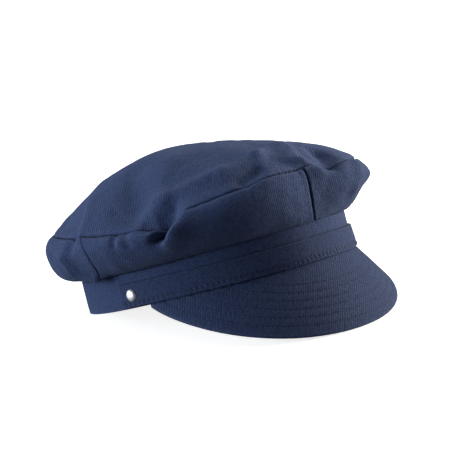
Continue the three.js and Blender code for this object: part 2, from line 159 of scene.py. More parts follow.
# name, from angle and height, to angle and height, left and right width, height of the fold
FOLDS = [
    ("pinch", 61.5, 25.5, 58, 37, 3, 4, -12.5),
    ("pinch pull", 64, 40, 57, 40, 6, 6, -6),
    ("pinch top", 60, 43, 56, 47, 4, 4, -3.5),
    ("lip low", 59, 22, 56, 27, 7, 2.5, 3.2),
    ("lip high", 56, 27, 52.5, 36, 8, 2.5, 2.4),
    ("pleat back", 77, 38, 77, 29, 2.2, 2.2, -1.7),
    ("pleat front", 73, 37, 72, 27, 2.6, 2.6, -1.6),
    ("quarter valley", 97, 38, 97, 31, 4, 4, -3),
    ("lobe upper", 113, 37, 101, 25, 5, 5, 2.4),
    ("lobe middle", 101, 25, 102, 15, 5, 5, 2.4),
    ("lobe lower", 102, 15, 96, 7, 4, 4, 2.4),
    ("far crease", 122, 44, 113, 27, 2.5, 2.5, -2.2),
    ("left lobe sag", 112, 12, 150, 12, 8, 8, 2),
    ("crease over pinch", 81, 53, 66, 43, 3, 3, -1.4),
    ("left fullness", 66, 88, 104, 73, 21, 18, 3.9),
    ("left slump", 104, 50, 126, 50, 6, 6, -3),
    ("ridge over pinch", 62, 54, 34, 57, 5, 4.5, 2.2),
    ("top hollow", 88, 70, 70, 52, 12, 12, -2),
    ("top bowl", 79, 82, 70, 56, 9, 9, -3.4),
    ("bowl rim right", 60, 56, 55, 84, 9, 9, 1.4),
    ("left shoulder", 99, 62, 92, 43, 5, 5, 1.2),
    ("lobe foot", 104, 6, 93, 5, 5, 5, 2),
    ("corner edge", 92, 42, 97, 62, 5, 5, 0.9),
    ("front ridge right", 34, 53, 13, 61, 5, 5, 2.2),
    ("front ridge left", 13, 61, -14, 70, 5, 5, 2.2),
    ("front dimple", 29, 44, 21, 48, 5, 5, -3.6),
    ("seam lap", -11, 62, -1, 46, 9, 4, 3),
    ("seam lap low", -1, 46, -5, 35, 8, 4, 1.8),
    ("seam valley", -24, 53, -12, 39.5, 6, 6, -5.5),
    ("corner ridge", -26, 34, -22, 18, 5, 5, 2),
    ("end edge", -27, 25, -55, 25, 3, 3, 1.1),
    ("end flat", -31, 35, -58, 35, 4.5, 4.5, -1),
    ("right shoulder", -26, 66, -46, 48, 9, 9, 2),
    ("lobe hollow", -35, 14, -75, 14, 7, 7, -2.8),
    ("left sag", -70, 31, -100, 23, 9, 9, -2.5),
    ("left ridge", -112, 44, -98, 18, 6, 6, 2.5),
    ("left sweep", -60, 62, -120, 70, 10, 10, 1.8),
    ("back valley", -150, 46, -158, 20, 6, 6, -2.5),
    ("back ridge", 168, 42, 160, 16, 7, 7, 2),
    ("back sag", 150, 70, 200, 66, 14, 14, -2.5),
]

# cloth height above the band, and how far the outer face leans up from level there
LEANS = np.array([
    [-2, -88], [0, -66], [10, -45], [22, -5], [34, 30], [40, 45], [50, 50], [80, 68], [140, 90],
])

# name, then each end's angle at the foot and at the seam under the top, and how far it bows between them
QUARTERS = [
    ("crown_side_front_right", 0, 2.5, 2, 97.8, 92, -6.1),
    ("crown_side_back_right", 97.8, 92, -6.1, 180, 180, 0),
    ("crown_side_back_left", 180, 180, 0, 264.5, 266, 0),
    ("crown_side_front_left", 264.5, 266, 0, 360, 362.5, 2),
]
print("sections", len(SECTIONS), "folds", len(FOLDS), "quarters", len(QUARTERS))

# %% [markdown]
# A few helpers place things round the band. They take whole arrays at once, because a fine cloth surface
# has tens of thousands of points.

# %% Round the band
def nearest_turn(angle):
    return (np.asarray(angle, float) + 180) % 360 - 180


def unit(vectors):
    return vectors / np.linalg.norm(vectors, axis=-1, keepdims=True)


def bell(distance, width):
    """1 on the middle line of a soft ridge, falling to 0 on both hands."""
    return np.exp(-((distance / width) ** 2))


def outward(angle):
    """The level direction straight out from the band."""
    turn = np.radians(angle)
    across, ahead = -np.sin(turn) / BAND["half_width"], -np.cos(turn) / BAND["half_length"]
    return unit(np.stack([across, ahead, 0 * turn], -1))


def around(angle, out, up):
    turn = np.radians(angle)
    along_x = -(BAND["half_width"] + out) * np.sin(turn)
    along_y = -(BAND["half_length"] + out) * np.cos(turn)
    return np.stack(np.broadcast_arrays(along_x, along_y, up), -1).astype(float)


def rim_sag(angle):
    """How far the lower edge hangs at the sides, behind the peak. It is level again at the back."""
    from_front = np.abs(nearest_turn(angle))
    behind = np.clip((from_front - SAG["from_angle"]) / SAG["run_in"], 0, 1)
    return SAG["depth"] * behind * np.clip((180 - from_front) / SAG["run_out"], 0, 1)


print("front of the band", around(0.0, 0.0, 0.0), "wearer's right", around(90.0, 0.0, 0.0))

# %% [markdown]
# The crown is one bag of cloth, so one function gives a point of it at any angle and height up the cloth.
# Up to the seam under the top it follows the side's curve, and above it the top's. Folds push the cloth out
# or in. Four quarters and a top are cut from this surface, so their edges meet.

# %% The crown's sections
def section_at(angle):
    """foot, bulge, seam_out, seam_up and cone at an angle: a smooth closed curve through the table."""
    turn = nearest_turn(angle)
    rows = np.concatenate([SECTIONS[-1:], SECTIONS, SECTIONS[:2]])
    rows[0, 0] -= 360
    rows[-2:, 0] += 360
    slopes = (rows[2:, 1:] - rows[:-2, 1:]) / (rows[2:, :1] - rows[:-2, :1])
    before = np.clip(np.searchsorted(SECTIONS[:, 0], turn, side="right") - 1, 0, len(SECTIONS) - 1)
    start, end = rows[before + 1], rows[before + 2]
    span = end[..., :1] - start[..., :1]
    t = (turn[..., None] - start[..., :1]) / span
    value = (2 * t**3 - 3 * t**2 + 1) * start[..., 1:] + (3 * t**2 - 2 * t**3) * end[..., 1:]
    value = value + span * ((t**3 - 2 * t**2 + t) * slopes[before] + (t**3 - t**2) * slopes[before + 1])
    return np.moveaxis(value, -1, 0)


def side_point(angle, share):
    foot, bulge, seam_out, seam_up, _ = section_at(angle)
    rise = seam_up - foot
    low = 3 * (1 - share) ** 2 * share
    high = 3 * (1 - share) * share**2
    out = (low * BELLY["low_out"] + high * BELLY["high_out"]) * bulge + share**3 * seam_out
    up = (low * BELLY["low_up"] + high * BELLY["high_up"] + share**3) * rise
    return around(angle, out, foot + up)


def top_point(angle, share):
    _, _, seam_out, seam_up, cone = section_at(angle)
    tip = CROWN["tip_round"]
    straight = (np.hypot(share, tip) - tip) / (math.hypot(1, tip) - tip)
    domed = share ** (2.1 + 2 * cone)
    point = around(angle, seam_out, 0 * seam_out)
    point[..., 0] *= share
    point[..., 1] = CROWN["apex_back"] * (1 - share) + point[..., 1] * share
    point[..., 2] = CROWN["apex"] + (seam_up - CROWN["apex"]) * (domed * (1 - cone) + straight * cone)
    return point


print("front section", np.round(section_at(np.array(0.0)), 2))

# %% Folds and the whole crown
def girth_at(up):
    """The share of its full girth that the crown still has, at a height up the cloth."""
    return 1 - np.clip((up - CROWN["side_cloth"]) / CROWN["top_cloth"], 0, 1)


def fold_height(angle, up):
    height = np.zeros(np.broadcast(angle, up).shape)
    for _, from_angle, from_up, to_angle, to_up, left, right, rise in FOLDS:
        across = nearest_turn(angle - from_angle) * CROWN["mm_per_degree"] * girth_at(up)
        above = up - from_up
        girth = girth_at((from_up + to_up) / 2)
        run = float(nearest_turn(to_angle - from_angle)) * CROWN["mm_per_degree"] * girth
        climb = to_up - from_up
        length = math.hypot(run, climb)
        share = np.clip((across * run + above * climb) / length**2, 0, 1)
        distance = np.hypot(across - share * run, above - share * climb)
        hand = (run * above - climb * across) / length / np.maximum(distance, 1e-6)
        width = right + (left - right) * (1 + hand) / 2
        height = height + rise * bell(distance, width)
    fade = np.clip(up / CROWN["fold_fade"], 0, 1)
    return height * fade * fade * (3 - 2 * fade)


def fold_crest(angle, up):
    """How much a place is the crest of a fold, from 0 to 1."""
    return np.clip(fold_height(angle, up) / CROWN["crest"], 0, 1)


def crown_facing(angle, up):
    lean = np.radians(np.interp(up, LEANS[:, 0], LEANS[:, 1]))
    level = outward(angle)
    return np.concatenate([level[..., :2] * np.cos(lean)[..., None], np.sin(lean)[..., None]], -1)


def crown_point(angle, up, lift):
    """A point of the crown's outer face, pushed out by lift millimetres."""
    angle, up, lift = np.broadcast_arrays(angle, up, lift)
    foot = section_at(angle)[0]
    side = side_point(angle, np.clip(up / CROWN["side_cloth"], 0, 1))
    top = top_point(angle, girth_at(up))
    hem = around(angle, np.minimum(up, 0), foot)
    point = np.where((up < 0)[..., None], hem, np.where((up <= CROWN["side_cloth"])[..., None], side, top))
    return point + crown_facing(angle, up) * (fold_height(angle, up) + lift)[..., None]


print("middle of the top", np.round(crown_point(np.array(0.0), np.array(140.0), np.array(0.0)), 1))

# %% [markdown]
# Old cotton is never quite smooth. A sum of a few sine waves in seeded directions makes its unevenness.
# Unlike a noise modifier, it can be asked for anywhere on the cloth.

# %% Unevenness of worn cloth
random = np.random.default_rng(7)
FULL_TURN = 2 * math.pi


def wave_table(count, shortest, longest):
    """Rows of direction, wave number and phase, for waves between two lengths in millimetres."""
    lengths = np.exp(random.uniform(math.log(shortest), math.log(longest), count))
    angles = random.uniform(0, FULL_TURN, count)
    across, along = np.cos(angles) * FULL_TURN / lengths, np.sin(angles) * FULL_TURN / lengths
    return np.stack([across, along, random.uniform(0, FULL_TURN, count)], -1)


SLOW_WAVES = wave_table(9, 30, 80)
SOFT_WAVES = wave_table(12, 9, 24)


def waves(across, along, table):
    """About -1 to 1."""
    total = sum(np.sin(across * row[0] + along * row[1] + row[2]) for row in table)
    return total / math.sqrt(len(table) / 2) / 1.8


def unevenness(across, along, slow, soft):
    patches = 0.6 + 0.4 * waves(across + 40, along - 20, SLOW_WAVES)
    return slow * waves(across, along, SLOW_WAVES) + soft * patches * waves(across, along, SOFT_WAVES)


print("unevenness sample", float(unevenness(np.array(3.0), np.array(5.0), 0.4, 0.2)))

# %% [markdown]
# Each piece of cloth is a thin closed wall. It is lofted from loops that go up the outer face, over the
# edge, and down the inner face. A loft keeps an even thickness, which a Solidify modifier would lose at the
# folded edges. Two things are stored with every point for the materials: where it lies on the flat cloth,
# in millimetres, and a mark that is above 0 where the place is worn and below 0 where shade is painted in.

# %% Loft helper
def make_object(name, points, faces, cloth, wear_and_shade, crisp=40):
    """The cloth place and the mark of wear and painted shade are kept with the points. Edges sharper than
    crisp, in degrees, stay hard.
    """
    mesh = bpy.data.meshes.new(name)
    mesh.from_pydata(in_place(np.reshape(points, (-1, 3))).tolist(), [], faces)
    mesh.validate()
    mesh.update()
    mesh.shade_smooth()
    mesh.set_sharp_from_angle(angle=math.radians(crisp))
    kept = ("cloth", "FLOAT_VECTOR", "vector", cloth), ("wear_and_shade", "FLOAT", "value", wear_and_shade)
    for label, kind, field, values in kept:
        attribute = mesh.attributes.new(label, kind, "POINT")
        attribute.data.foreach_set(field, np.ascontiguousarray(values, dtype=np.float32).ravel())
    piece = bpy.data.objects.new(name, mesh)
    bpy.context.collection.objects.link(piece)
    print(name, len(mesh.polygons), "faces")
    return piece


def quads(*corners):
    return np.stack(corners, -1).reshape(-1, 4).tolist()


def loft(name, loops, cloth, wear_and_shade, closed):
    """loops is columns by points by 3. Point k of a loop lies across the wall from point -1 - k."""
    columns, count = loops.shape[:2]
    index = np.arange(columns * count).reshape(columns, count)
    following = np.roll(index, -1, axis=0) if closed else index[1:]
    here = index if closed else index[:-1]
    over, over_next = np.roll(here, -1, axis=1), np.roll(following, -1, axis=1)
    faces = quads(here, over, over_next, following)
    if not closed:
        half = count // 2
        first, last = index[0], index[-1]
        for k in range(half - 1):
            faces.append([first[k], first[-1 - k], first[-2 - k], first[k + 1]])
            faces.append([last[k], last[k + 1], last[-2 - k], last[-1 - k]])
    return make_object(name, loops, faces, cloth, wear_and_shade)


# %% Stations along a piece
EDGE_STEPS = np.array([0, 0.25, 0.5, 0.8, 1.2, 1.75, 2.4, 3.2])


def stations(length, step):
    """Places from 0 to length, close together at both ends, where the cloth rolls into a seam."""
    inner = length - 2 * EDGE_STEPS[-1]
    middle = np.linspace(EDGE_STEPS[-1], length - EDGE_STEPS[-1], max(2, round(inner / step) + 1))
    return np.concatenate([EDGE_STEPS[:-1], middle, length - EDGE_STEPS[-2::-1]])


print("stations on 40 mm", len(stations(40, 0.9)))

# %% [markdown]
# The quarters of the crown's side are sewn to each other and to the top. At a seam the edge rolls down into
# a narrow groove, and the turnings folded to one side beneath it raise a soft ridge. The stitches pull the
# cloth a little, which gives the fine puckers beside a seam and where the crown is eased on to the band.

# %% The quarters of the crown's side
SEAM = {"depth": 1.5, "width": 0.6, "ridge": 0.3, "ridge_at": 3.4, "ridge_width": 2.2}
# dark is how strongly shade is painted into each seam's groove
FRONT_SEAM = {"depth": 1.5, "width": 0.85, "dark": 1.0, "late": 12}
OTHER_SEAM = {"depth": 0.7, "width": 0.45, "dark": 0.35, "late": 1}
SIDE_STEP = 0.95
INNER_LIFT = 0.4
# height and reach of the ripples
PUCKERS = {"under top": (0.12, 4), "upright seam": (0.1, 4), "band": (0.16, 5), "top": (0.13, 5)}
# height of the slow and the soft waves
UNEVEN = {"side": (0.5, 0.26), "top": (0.6, 0.26)}


def seam_roll(distance, seam=SEAM):
    return -seam["depth"] * bell(distance, seam["width"])


def seam_nook(distance, seam=SEAM):
    """How deep in a seam's groove a place lies, from 0 to 1. It sets the painted shade there."""
    return np.exp(-((distance / seam["width"]) ** 4))


def seam_ridge(distance):
    return SEAM["ridge"] * bell(distance - SEAM["ridge_at"], SEAM["ridge_width"])


def puckers(along, distance, height, reach):
    ripple = np.sin(along * 0.95 + 1.7 * np.sin(along * 0.21)) + 0.6 * np.sin(along * 0.53 + 2)
    return height * ripple * np.exp(-distance / reach)


def seam_at(foot):
    return FRONT_SEAM if foot % 360 == 0 else OTHER_SEAM


def quarter_angle(quarter, share, up):
    rise = np.clip(up / CROWN["side_cloth"], 0, 1)
    half = SEWN / 2 / CROWN["mm_per_degree"]

    def edge(foot, seam, bow):
        return foot + (seam - foot) * rise ** seam_at(foot)["late"] + bow * 4 * rise * (1 - rise)

    start, end = edge(*quarter[1:4]) + half, edge(*quarter[4:7]) - half
    return start + (end - start) * share


def crown_wall(angle, up, lift, flat, wear_and_shade_mark):
    """Loops of a wall, up the outer face and down the inner one, with their cloth and their mark of wear
    and painted shade.
    """
    outer = crown_point(angle, up, lift)
    inner = crown_point(angle, up, np.minimum(lift, INNER_LIFT) - CROWN["wall"])
    pairs = (outer, inner), (flat, flat), (wear_and_shade_mark, wear_and_shade_mark * 0)
    return [np.concatenate([out, back[:, ::-1]], 1) for out, back in pairs]


def quarter_piece(quarter):
    width = (quarter[4] - quarter[1]) * FLAT_CLOTH["mm_per_degree"]
    shares = stations(width, SIDE_STEP) / width
    seam_up = CROWN["side_cloth"] - SEWN / 2
    ups = np.concatenate([[-CROWN["hem"], -1.0], stations(seam_up, 0.8)])
    share, up = np.meshgrid(shares, ups, indexing="ij")
    angle = quarter_angle(quarter, share, up)
    across = angle * CROWN["mm_per_degree"]
    to_start, to_end, to_seam = share * width, (1 - share) * width, seam_up - up
    start_seam, end_seam = seam_at(quarter[1]), seam_at(quarter[4])
    lift = seam_roll(to_start, start_seam) + seam_roll(to_end, end_seam) + seam_roll(to_seam)
    lift = lift + seam_ridge(to_start) + 0.5 * seam_ridge(to_seam)
    lift = lift + puckers(across, to_seam, *PUCKERS["under top"])
    lift = lift + puckers(up * 1.3, np.minimum(to_start, to_end), *PUCKERS["upright seam"])
    lift = lift + puckers(across * 1.1 + 5, np.maximum(up, 0), *PUCKERS["band"])
    lift = lift * np.clip((up + 0.5) / 2, 0, 1)
    lift = lift + unevenness(across, up * 1.2, *UNEVEN["side"]) * np.clip(up / 8, 0, 1)
    flat = np.stack([angle * FLAT_CLOTH["mm_per_degree"], up * FLAT_CLOTH["rise"], 0 * up], -1)
    wear_and_shade_mark = 0.35 * fold_crest(angle, up) + 0.5 * seam_ridge(to_start) / SEAM["ridge"]
    wear_and_shade_mark = wear_and_shade_mark + 0.4 * bell(to_seam - 1.5, 1.2)
    # painted shade in the grooves of the seams
    start_dark = start_seam["dark"] * seam_nook(to_start, start_seam)
    nook = np.maximum(start_dark, end_seam["dark"] * seam_nook(to_end, end_seam))
    wear_and_shade_mark = wear_and_shade_mark * (1 - nook) - np.maximum(nook, seam_nook(to_seam))
    return loft(quarter[0] + "_cloth", *crown_wall(angle, up, lift, flat, wear_and_shade_mark), closed=False)


quarter_pieces = {quarter[0]: quarter_piece(quarter) for quarter in QUARTERS}

# %% [markdown]
# The top is one round of cloth. Its loops run from the middle out to the seam and back along the inside,
# and they meet in one point on each face.

# %% The crown's top
TOP_SPOKES = 440
TOP_STEP = 1.25


def top_piece():
    rim_up = CROWN["side_cloth"] + SEWN / 2
    reach = CROWN["top_cloth"] - SEWN / 2
    rings = np.concatenate([EDGE_STEPS[:-1], np.arange(EDGE_STEPS[-1], reach - 1.5, TOP_STEP)])[::-1]
    spokes = np.arange(TOP_SPOKES) * 360 / TOP_SPOKES - 180
    angle, rim = np.meshgrid(spokes, rings, indexing="ij")
    up = rim_up + rim
    share = girth_at(up)
    plan = top_point(angle, share)
    across, along = plan[..., 0], plan[..., 1]
    lift = 1.1 * seam_roll(rim) + seam_ridge(rim)
    lift = lift + puckers(angle * CROWN["mm_per_degree"] + 9, rim, *PUCKERS["top"])
    lift = lift + unevenness(across, along, *UNEVEN["top"]) * np.clip(rim / 12, 0, 1)
    flat = np.stack([along, -across, 0 * up], -1)
    wear_and_shade_mark = 0.3 * fold_crest(angle, up) + 0.5 * bell(rim - 1.6, 1.3)
    # painted shade in the groove of the seam round the top
    wear_and_shade_mark = wear_and_shade_mark * (1 - seam_nook(rim)) - seam_nook(rim)
    loops, cloth, wear_and_shade = crown_wall(angle, up, lift, flat, wear_and_shade_mark)
    columns, count = loops.shape[:2]
    index = np.arange(columns * count).reshape(columns, count)
    following = np.roll(index, -1, axis=0)
    faces = quads(index[:, :-1], index[:, 1:], following[:, 1:], following[:, :-1])
    tips = [loops[:, 0].mean(0), loops[:, -1].mean(0)]
    first, last = columns * count, columns * count + 1
    faces += [[first, index[i, 0], following[i, 0]] for i in range(columns)]
    faces += [[last, following[i, -1], index[i, -1]] for i in range(columns)]
    points = np.concatenate([loops.reshape(-1, 3), tips])
    cloth = np.concatenate([cloth.reshape(-1, 3), [[CROWN["apex_back"], 0, 0]] * 2])
    wear_and_shade = np.append(wear_and_shade, [0, 0])
    return make_object("crown_top_cloth", points, faces, cloth, wear_and_shade)


crown_top = top_piece()

# %% [markdown]
# The headband, the strap and the peak are doubled cloth, pressed flat, so their edges are folds. A helper
# gives each loop as a long rounded slab, in pairs of place and depth, and each piece puts these pairs on
# its own surface.

# %% Rounded slab
EDGE_ROUND = 0.55
# height of the slow waves on pressed cloth
PRESSED = {"band": 0.14, "strap": 0.1, "peak": 0.12}


def slab(length, wall, step):
    """Pairs of place along the slab and depth into it, for the outer half of a loop with rounded ends."""
    radius = wall / 2
    turns = np.radians([14, 38, 64])
    round_in = EDGE_ROUND * radius
    start = np.stack([round_in * (1 - np.cos(turns)), radius * (1 - np.sin(turns))], -1)
    face = np.linspace(round_in, length - round_in, max(2, round((length - 2 * round_in) / step) + 1))
    outer = np.stack([face, 0 * face], -1)
    end = start[::-1].copy()
    end[:, 0] = length - end[:, 0]
    return np.concatenate([start, outer, end])


def slab_loop(length, wall, step):
    half = slab(length, wall, step)
    mirrored = half[::-1].copy()
    mirrored[:, 1] = wall - mirrored[:, 1]
    return np.concatenate([half, mirrored])


print("band slab points", len(slab_loop(22, 2, 1)))

# %% The headband
BAND_SPOKES = 480


def band_piece():
    angles = np.arange(BAND_SPOKES) * 360 / BAND_SPOKES - 180
    foot = section_at(angles)[0] - SEWN
    usual = BAND["usual_height"]
    pairs = slab_loop(1.0, BAND["wall"] / usual, 1 / usual)
    place, depth = pairs[:, 0][None], pairs[:, 1][None] * usual
    angle = np.broadcast_to(angles[:, None], (BAND_SPOKES, len(pairs)))
    along = angle * BAND["mm_per_degree"]
    up = place * foot[:, None]
    press = PRESSED["band"] * waves(along, up, SLOW_WAVES) - 0.1 * bell(up - 2.2, 0.8)
    loops = around(angle, press - depth, up - rim_sag(angle) * (1 - place))
    cloth = np.stack([along, up, 0 * up], -1)
    # painted shadow under the strap and in a strip about a millimetre wide beside its top edge and ends
    past_end = (np.abs(nearest_turn(angle)) - STRAP["end_angle"]) * BAND["mm_per_degree"]
    beyond = np.maximum(up - STRAP["top"], past_end)
    strap_shadow = np.clip(1.2 - beyond, 0, 1)
    wear_and_shade = 0.8 * bell(up, 1.1) * (1 - strap_shadow) - 0.8 * strap_shadow
    return loft("headband_cloth", loops, cloth, wear_and_shade, closed=True)


headband = band_piece()

# %% [markdown]
# The strap lies over the front half of the band. A row of stitches runs three millimetres above its lower
# edge and pulls the cloth into a small pucker between each two stitches, so the stitches' pitch drives
# both.

# %% The strap
STITCH = {"pitch": 3.6, "length": 2.7, "radius": 0.27, "above_edge": 3.0, "end_degrees": 1.5}


def strap_share(up):
    """How far up the strap a height is, from 0 to 1."""
    return (up - STRAP["bottom"]) / (STRAP["top"] - STRAP["bottom"])


def strap_stand(up):
    """How far the strap's outer face stands off the band."""
    return GAP + STRAP["flare"] * (1 - strap_share(up)) + STRAP["wall"]


def strap_surface(angle, up, depth):
    """A point of the strap, depth millimetres in from its outer face."""
    along = angle * BAND["mm_per_degree"]
    row = up - STRAP["bottom"] - STITCH["above_edge"]
    phase = np.cos(FULL_TURN * along / STITCH["pitch"])
    dent = -0.34 * bell(row, 0.7) - 0.24 * phase * bell(row + 1.0, 1.6)
    dent = dent + PRESSED["strap"] * waves(along, up, SLOW_WAVES)
    lowered = up - rim_sag(angle) * (1 - strap_share(up))
    return around(angle, strap_stand(up) - depth + dent, lowered)


def strap_piece():
    length = 2 * STRAP["end_angle"] * BAND["mm_per_degree"]
    places = stations(length, 0.75)
    pairs = slab_loop(STRAP["top"] - STRAP["bottom"], STRAP["wall"], 0.7)
    angle = (places / length * 2 - 1)[:, None] * STRAP["end_angle"] + 0 * pairs[:, 0][None]
    up = STRAP["bottom"] + pairs[:, 0][None] + 0 * angle
    from_end = np.minimum(places, length - places)[:, None]
    radius = STRAP["wall"] / 2
    thin = np.sqrt(np.clip(1 - np.clip(1 - from_end / radius, 0, 0.93) ** 2, 0, 1))
    depth = radius + (pairs[:, 1][None] - radius) * thin
    loops = strap_surface(angle, up, depth)
    cloth = np.stack([angle * BAND["mm_per_degree"], up, 0 * up], -1)
    near_edge = np.minimum(up - STRAP["bottom"], STRAP["top"] - up)
    wear_and_shade = 0.25 * bell(near_edge, 0.8) + 0.6 * bell(from_end, 0.8)
    # painted shade along the groove of the stitch row
    wear_and_shade = wear_and_shade - 0.8 * bell(up - STRAP["bottom"] - STITCH["above_edge"], 0.6)
    return loft("strap_cloth", loops, cloth, wear_and_shade, closed=False)


strap = strap_piece()

# %% [markdown]
# The peak is two plies of cloth over a board. Its section curls down a little towards the edge, and six
# rows of stitches run parallel to that edge. To find them, every point's distance to the edge is measured
# on the made surface, and each row follows the places at one distance. The cloth sinks along each row.

# %% The peak's surface
PEAK_ROWS = [6.35 + 5.5 * k for k in range(6)]


def peak_half(share, key):
    return np.where(share < 0, PEAK_LEFT[key], PEAK_RIGHT[key])


def peak_reach(share):
    rest = 1 - np.abs(share) ** peak_half(share, "reach_power")
    return PEAK["length"] * rest ** peak_half(share, "end_power")


def peak_surface(share, along, depth):
    """share goes from -1 to 1 along the root, and along from 0 at the root to 1 at the edge."""
    share, along, depth = np.broadcast_arrays(share, along, depth)
    angle = share * PEAK["end_angle"]
    out = unit(outward(angle) * (1 - PEAK["forward"]) + np.array([0, -1, 0]) * PEAK["forward"])
    raised = PEAK["slope_ease"] * share**2 + peak_half(share, "lift") * np.abs(share) ** 3
    slope = np.radians(PEAK["slope"] - raised)
    bend = math.radians(PEAK["curl"])
    end = slope + bend * peak_reach(share) * along
    point = around(angle, PEAK["root_out"], PEAK["root_up"])
    run = (np.sin(end) - np.sin(slope)) / bend - depth * np.sin(end)
    drop = (np.cos(slope) - np.cos(end)) / bend + depth * np.cos(end)
    point = point + out * run[..., None]
    point[..., 2] -= drop
    return point


def root_shares(count):
    """Places along the root, closer together towards both ends."""
    return np.sin(np.linspace(-math.pi / 2, math.pi / 2, count)) * PEAK["shortest"]


EDGE_POINTS = 401
peak_edge = peak_surface(root_shares(EDGE_POINTS), 1.0, 0.0)


def distance_to_edge(points):
    flat = points.reshape(-1, 3)
    start, step = peak_edge[:-1], np.diff(peak_edge, axis=0)
    nearest = np.full(len(flat), 1e9)
    for first, way in zip(start, step):
        share = np.clip((flat - first) @ way / (way @ way), 0, 1)
        nearest = np.minimum(nearest, np.linalg.norm(flat - first - share[:, None] * way, axis=1))
    return nearest.reshape(points.shape[:-1])


print("front of the peak reaches", np.round(peak_edge[EDGE_POINTS // 2], 1))

# %% The peak
QUILT = {"depth": 0.34, "width": 0.75}
PEAK_ROUND = 230.0
# places off the band and above its edge
TURNING_OUTSIDE = np.array([[0.65, 2.5], [0.95, 2.4], [1.05, 1.1]])
TURNING_INSIDE = np.array([[0.35, 0.4], [0.3, 1.6], [0.3, 2.5]])


def root_turning(share, places):
    """The thin turning above the peak's root, which is caught between the strap and the band."""
    return around(share * PEAK["end_angle"], places[:, 0][None], places[:, 1][None])


def peak_piece():
    places = stations(PEAK_ROUND, 0.95)
    share = (np.sin((places / PEAK_ROUND - 0.5) * math.pi) * PEAK["shortest"])[:, None]
    pairs = slab_loop(PEAK["length"], PEAK["wall"], 0.62)
    place, depth = pairs[:, 0][None], pairs[:, 1][None]
    radius = PEAK["wall"] / 2
    reach = peak_reach(share)
    along = (place - radius) / (PEAK["length"] - PEAK["wall"])
    edge_share = radius / np.maximum(reach, 4)
    along = np.clip(along, 0, 1) * (1 - 2 * edge_share) + edge_share
    beyond = np.clip(place - (PEAK["length"] - radius), 0, None) - np.clip(radius - place, 0, None)
    along = along + beyond / np.maximum(reach, 4)
    distance = distance_to_edge(peak_surface(share, along, 0.0))
    quilt = sum(-QUILT["depth"] * bell(distance - row, QUILT["width"]) for row in PEAK_ROWS)
    outer_side = depth < radius
    puff = np.where(outer_side, -quilt, quilt)
    flat_along = peak_reach(share) * along
    uneven = PRESSED["peak"] * waves(share * 110, flat_along, SLOW_WAVES)
    loops = peak_surface(share, along, depth + puff + uneven)
    root = around(share * PEAK["end_angle"], PEAK["root_out"], 0.0)
    cloth = np.stack([loops[..., 0], -root[..., 1] + flat_along, 0 * flat_along], -1)
    # below 0 on the rows of stitches: painted shade in their grooves
    wear_and_shade = np.where(outer_side, 0.8 * bell(distance, 1.6) + 1.6 * quilt, 0.0)
    before, after = root_turning(share, TURNING_OUTSIDE), root_turning(share, TURNING_INSIDE)
    loops = np.concatenate([before, loops, after], 1)
    added = len(TURNING_OUTSIDE)
    cloth = np.pad(cloth, ((0, 0), (added, added), (0, 0)), "edge")
    wear_and_shade = np.pad(wear_and_shade, ((0, 0), (added, added)), "edge")
    return loft("peak_cloth", loops, cloth, wear_and_shade, closed=False)


peak = peak_piece()

# %% [markdown]
# A stitch is a short raised thread that dives into the cloth at both ends. All stitches of a seam are one
# mesh: a small capsule is worked out once and repeated along the path, which is lighter than hundreds of
# objects.

# %% Stitch helper
def resample(path, pitch):
    """Middles, directions and shares of the length, for steps of one pitch along a path of points."""
    lengths = np.concatenate([[0], np.cumsum(np.linalg.norm(np.diff(path, axis=0), axis=1))])
    count = int(lengths[-1] // pitch)
    start = (lengths[-1] - count * pitch) / 2
    middles = start + pitch * (np.arange(count) + 0.5)

    def at(s):
        return np.stack([np.interp(s, lengths, path[:, axis]) for axis in range(3)], -1)

    ahead = at(middles + pitch / 4) - at(middles - pitch / 4)
    return at(middles), unit(ahead), middles / lengths[-1]


def thread_mesh(name, middles, ahead, facing, length, radius, sides=6):
    """One capsule of thread for each middle, lying along ahead, with facing pointing out of the cloth."""
    along = np.array([-0.5, -0.43, -0.26, 0, 0.26, 0.43, 0.5]) * length
    thick = np.array([0.45, 0.85, 1, 1.05, 1, 0.85, 0.45]) * radius
    arch = -1.3 * radius * np.abs(along / along[-1]) ** 3
    turn = np.arange(sides) * FULL_TURN / sides
    facing = unit(facing - ahead * np.sum(facing * ahead, -1, keepdims=True))
    sideways = np.cross(ahead, facing)
    ring_out = np.cos(turn)[None] * thick[:, None] + arch[:, None]
    ring_side = np.sin(turn)[None] * thick[:, None]
    points = middles[:, None, None] + ahead[:, None, None] * along[None, :, None, None]
    points = points + facing[:, None, None] * ring_out[None, ..., None]
    points = points + sideways[:, None, None] * ring_side[None, ..., None]
    rings = len(along)
    index = np.arange(len(middles) * rings * sides).reshape(len(middles), rings, sides)
    here, there = index[:, :-1], index[:, 1:]
    faces = quads(here, there, np.roll(there, -1, 2), np.roll(here, -1, 2))
    faces += index[:, 0, :].tolist() + index[:, -1, ::-1].tolist()
    cloth = np.broadcast_to(np.array([1.0, 0, 0]) * along[None, :, None, None], points.shape) + 0.0
    cloth = cloth + np.arange(len(middles))[:, None, None, None] * np.array([7.3, 3.1, 0])
    return make_object(name, points, faces, cloth, np.zeros(points.shape[:-1]), crisp=60)


print("thread helper ready, pitch", STITCH["pitch"])

# %% Stitches of the strap
PATH_POINTS = 900
last_angle = STRAP["end_angle"] - STITCH["end_degrees"]
strap_path = strap_surface(
    np.linspace(-last_angle, last_angle, PATH_POINTS), STRAP["bottom"] + STITCH["above_edge"], -0.02
)
middles, ahead, shares = resample(strap_path, STITCH["pitch"])
facing = outward(np.interp(shares, [0, 1], [-last_angle, last_angle]))
strap_stitches = thread_mesh("strap_stitches", middles, ahead, facing, STITCH["length"], STITCH["radius"])
print("strap stitches", len(middles))

# %% Stitches of the peak
SEARCH = {"columns": 301, "places": 120}
FINER = {"pitch": 0.86, "length": 0.84, "radius": 0.85}


